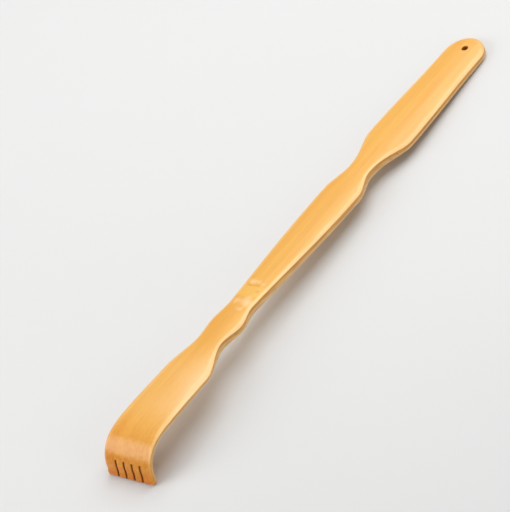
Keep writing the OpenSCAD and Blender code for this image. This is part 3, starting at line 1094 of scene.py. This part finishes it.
def floor_material():
    """Plain pale studio floor, which keeps one tone away from the strip."""
    s = Shader("studio_floor")
    place = s.node("ShaderNodeTexCoord", {}).outputs["Object"]
    mottle = s.noise(place, FLOOR_DETAIL)
    colour = s.mix(s.smooth(mottle, *FLOOR_LIMITS), FLOOR_DEEP, FLOOR_PALE)
    lit = s.node("ShaderNodeBsdfPrincipled", {"Base Color": colour, "Roughness": FLOOR_ROUGHNESS})
    plain = s.node("ShaderNodeEmission", {"Strength": PLAIN_LEVEL})
    away = s.node("ShaderNodeVectorMath", {0: place}, operation="LENGTH").outputs["Value"]
    rays = s.node("ShaderNodeLightPath", {}).outputs
    seen = s.math("ADD", rays["Is Camera Ray"], rays["Is Glossy Ray"])
    seen = s.math("ADD", seen, rays["Is Transmission Ray"])
    far = s.product(s.smooth(away, PLAIN_FROM, PLAIN_FULL), s.math("MINIMUM", seen, 1.0))
    shader = s.node("ShaderNodeMixShader", {0: far, 1: lit.outputs[0], 2: plain.outputs[0]})
    s.node("ShaderNodeOutputMaterial", {"Surface": shader.outputs[0]})
    return s.material


def make_floor():
    """The floor that the strip lies on."""
    corners = [(-FLOOR_HALF, -FLOOR_HALF, 0), (FLOOR_HALF, -FLOOR_HALF, 0)]
    corners += [(FLOOR_HALF, FLOOR_HALF, 0), (-FLOOR_HALF, FLOOR_HALF, 0)]
    mesh = bpy.data.meshes.new("floor")
    mesh.from_pydata(corners, [], [(0, 1, 2, 3)])
    mesh.materials.append(floor_material())
    floor = bpy.data.objects.new("floor", mesh)
    bpy.context.scene.collection.objects.link(floor)


def make_lights():
    """Soft boxes that shine at the middle of the strip, and an even fill."""
    for name, direction, distance, side, radiance in SOFT_BOXES:
        lamp = bpy.data.lights.new(name, "AREA")
        lamp.shape = "SQUARE"
        lamp.size = side
        lamp.energy = radiance * math.pi * side * side
        light = bpy.data.objects.new(name, lamp)
        away = Vector(direction).normalized()
        light.location = away * distance
        light.rotation_euler = away.to_track_quat("Z", "Y").to_euler()
        bpy.context.scene.collection.objects.link(light)
    world = bpy.data.worlds.new("fill")
    world.use_nodes = True
    background = world.node_tree.nodes["Background"]
    background.inputs["Color"].default_value = (1, 1, 1, 1)
    background.inputs["Strength"].default_value = FILL
    bpy.context.scene.world = world


# The photograph's frame, and the pixel in it where a place of the strip's underside is seen
IMAGE_W = 510
IMAGE_H = 512
SEEN_PIXEL = (281.8, 266.8)
SEEN_ABOVE_BEND = 180 * MM
SEEN_AT = PLATE_AT + SEEN_ABOVE_BEND
PIXELS_PER_METRE = 1315
# Turn of the camera's level axis from +X, how far it looks down, and its roll
CAMERA_TURN = math.radians(-36.5)
CAMERA_ELEVATION = math.radians(39.1)
CAMERA_ROLL = math.radians(26.6)
CAMERA_DISTANCE = 8.0
SENSOR_W = 36


def make_camera():
    """A long lens at the photograph's angle, aimed so that the strip lies where it does there."""
    level = Vector((math.cos(CAMERA_TURN), math.sin(CAMERA_TURN), 0))
    flat = math.cos(CAMERA_ELEVATION)
    back = Vector((level.y * flat, -level.x * flat, math.sin(CAMERA_ELEVATION)))
    right = Matrix.Rotation(-CAMERA_ROLL, 3, back) @ level
    up = back.cross(right)
    seen = Vector(placed(np.array(SEEN_AT), np.array(0.0), np.array(0.0)))
    aim = seen - right * (SEEN_PIXEL[0] - IMAGE_W / 2) / PIXELS_PER_METRE
    aim += up * (SEEN_PIXEL[1] - IMAGE_H / 2) / PIXELS_PER_METRE
    lens = bpy.data.cameras.new("camera")
    lens.sensor_fit = "HORIZONTAL"
    lens.sensor_width = SENSOR_W
    lens.lens = PIXELS_PER_METRE * CAMERA_DISTANCE / IMAGE_W * SENSOR_W
    camera = bpy.data.objects.new("camera", lens)
    turn = Matrix((right, up, back)).transposed()
    camera.matrix_world = Matrix.Translation(aim + back * CAMERA_DISTANCE) @ turn.to_4x4()
    bpy.context.scene.collection.objects.link(camera)
    bpy.context.scene.camera = camera


make_camera()
make_floor()
make_lights()
bamboo = bamboo_material()
for node, piece in make_pieces().items():
    piece.data.materials.append(bamboo)
    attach(piece, "root")
    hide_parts(node)
bpy.context.scene.view_settings.view_transform = "Standard"
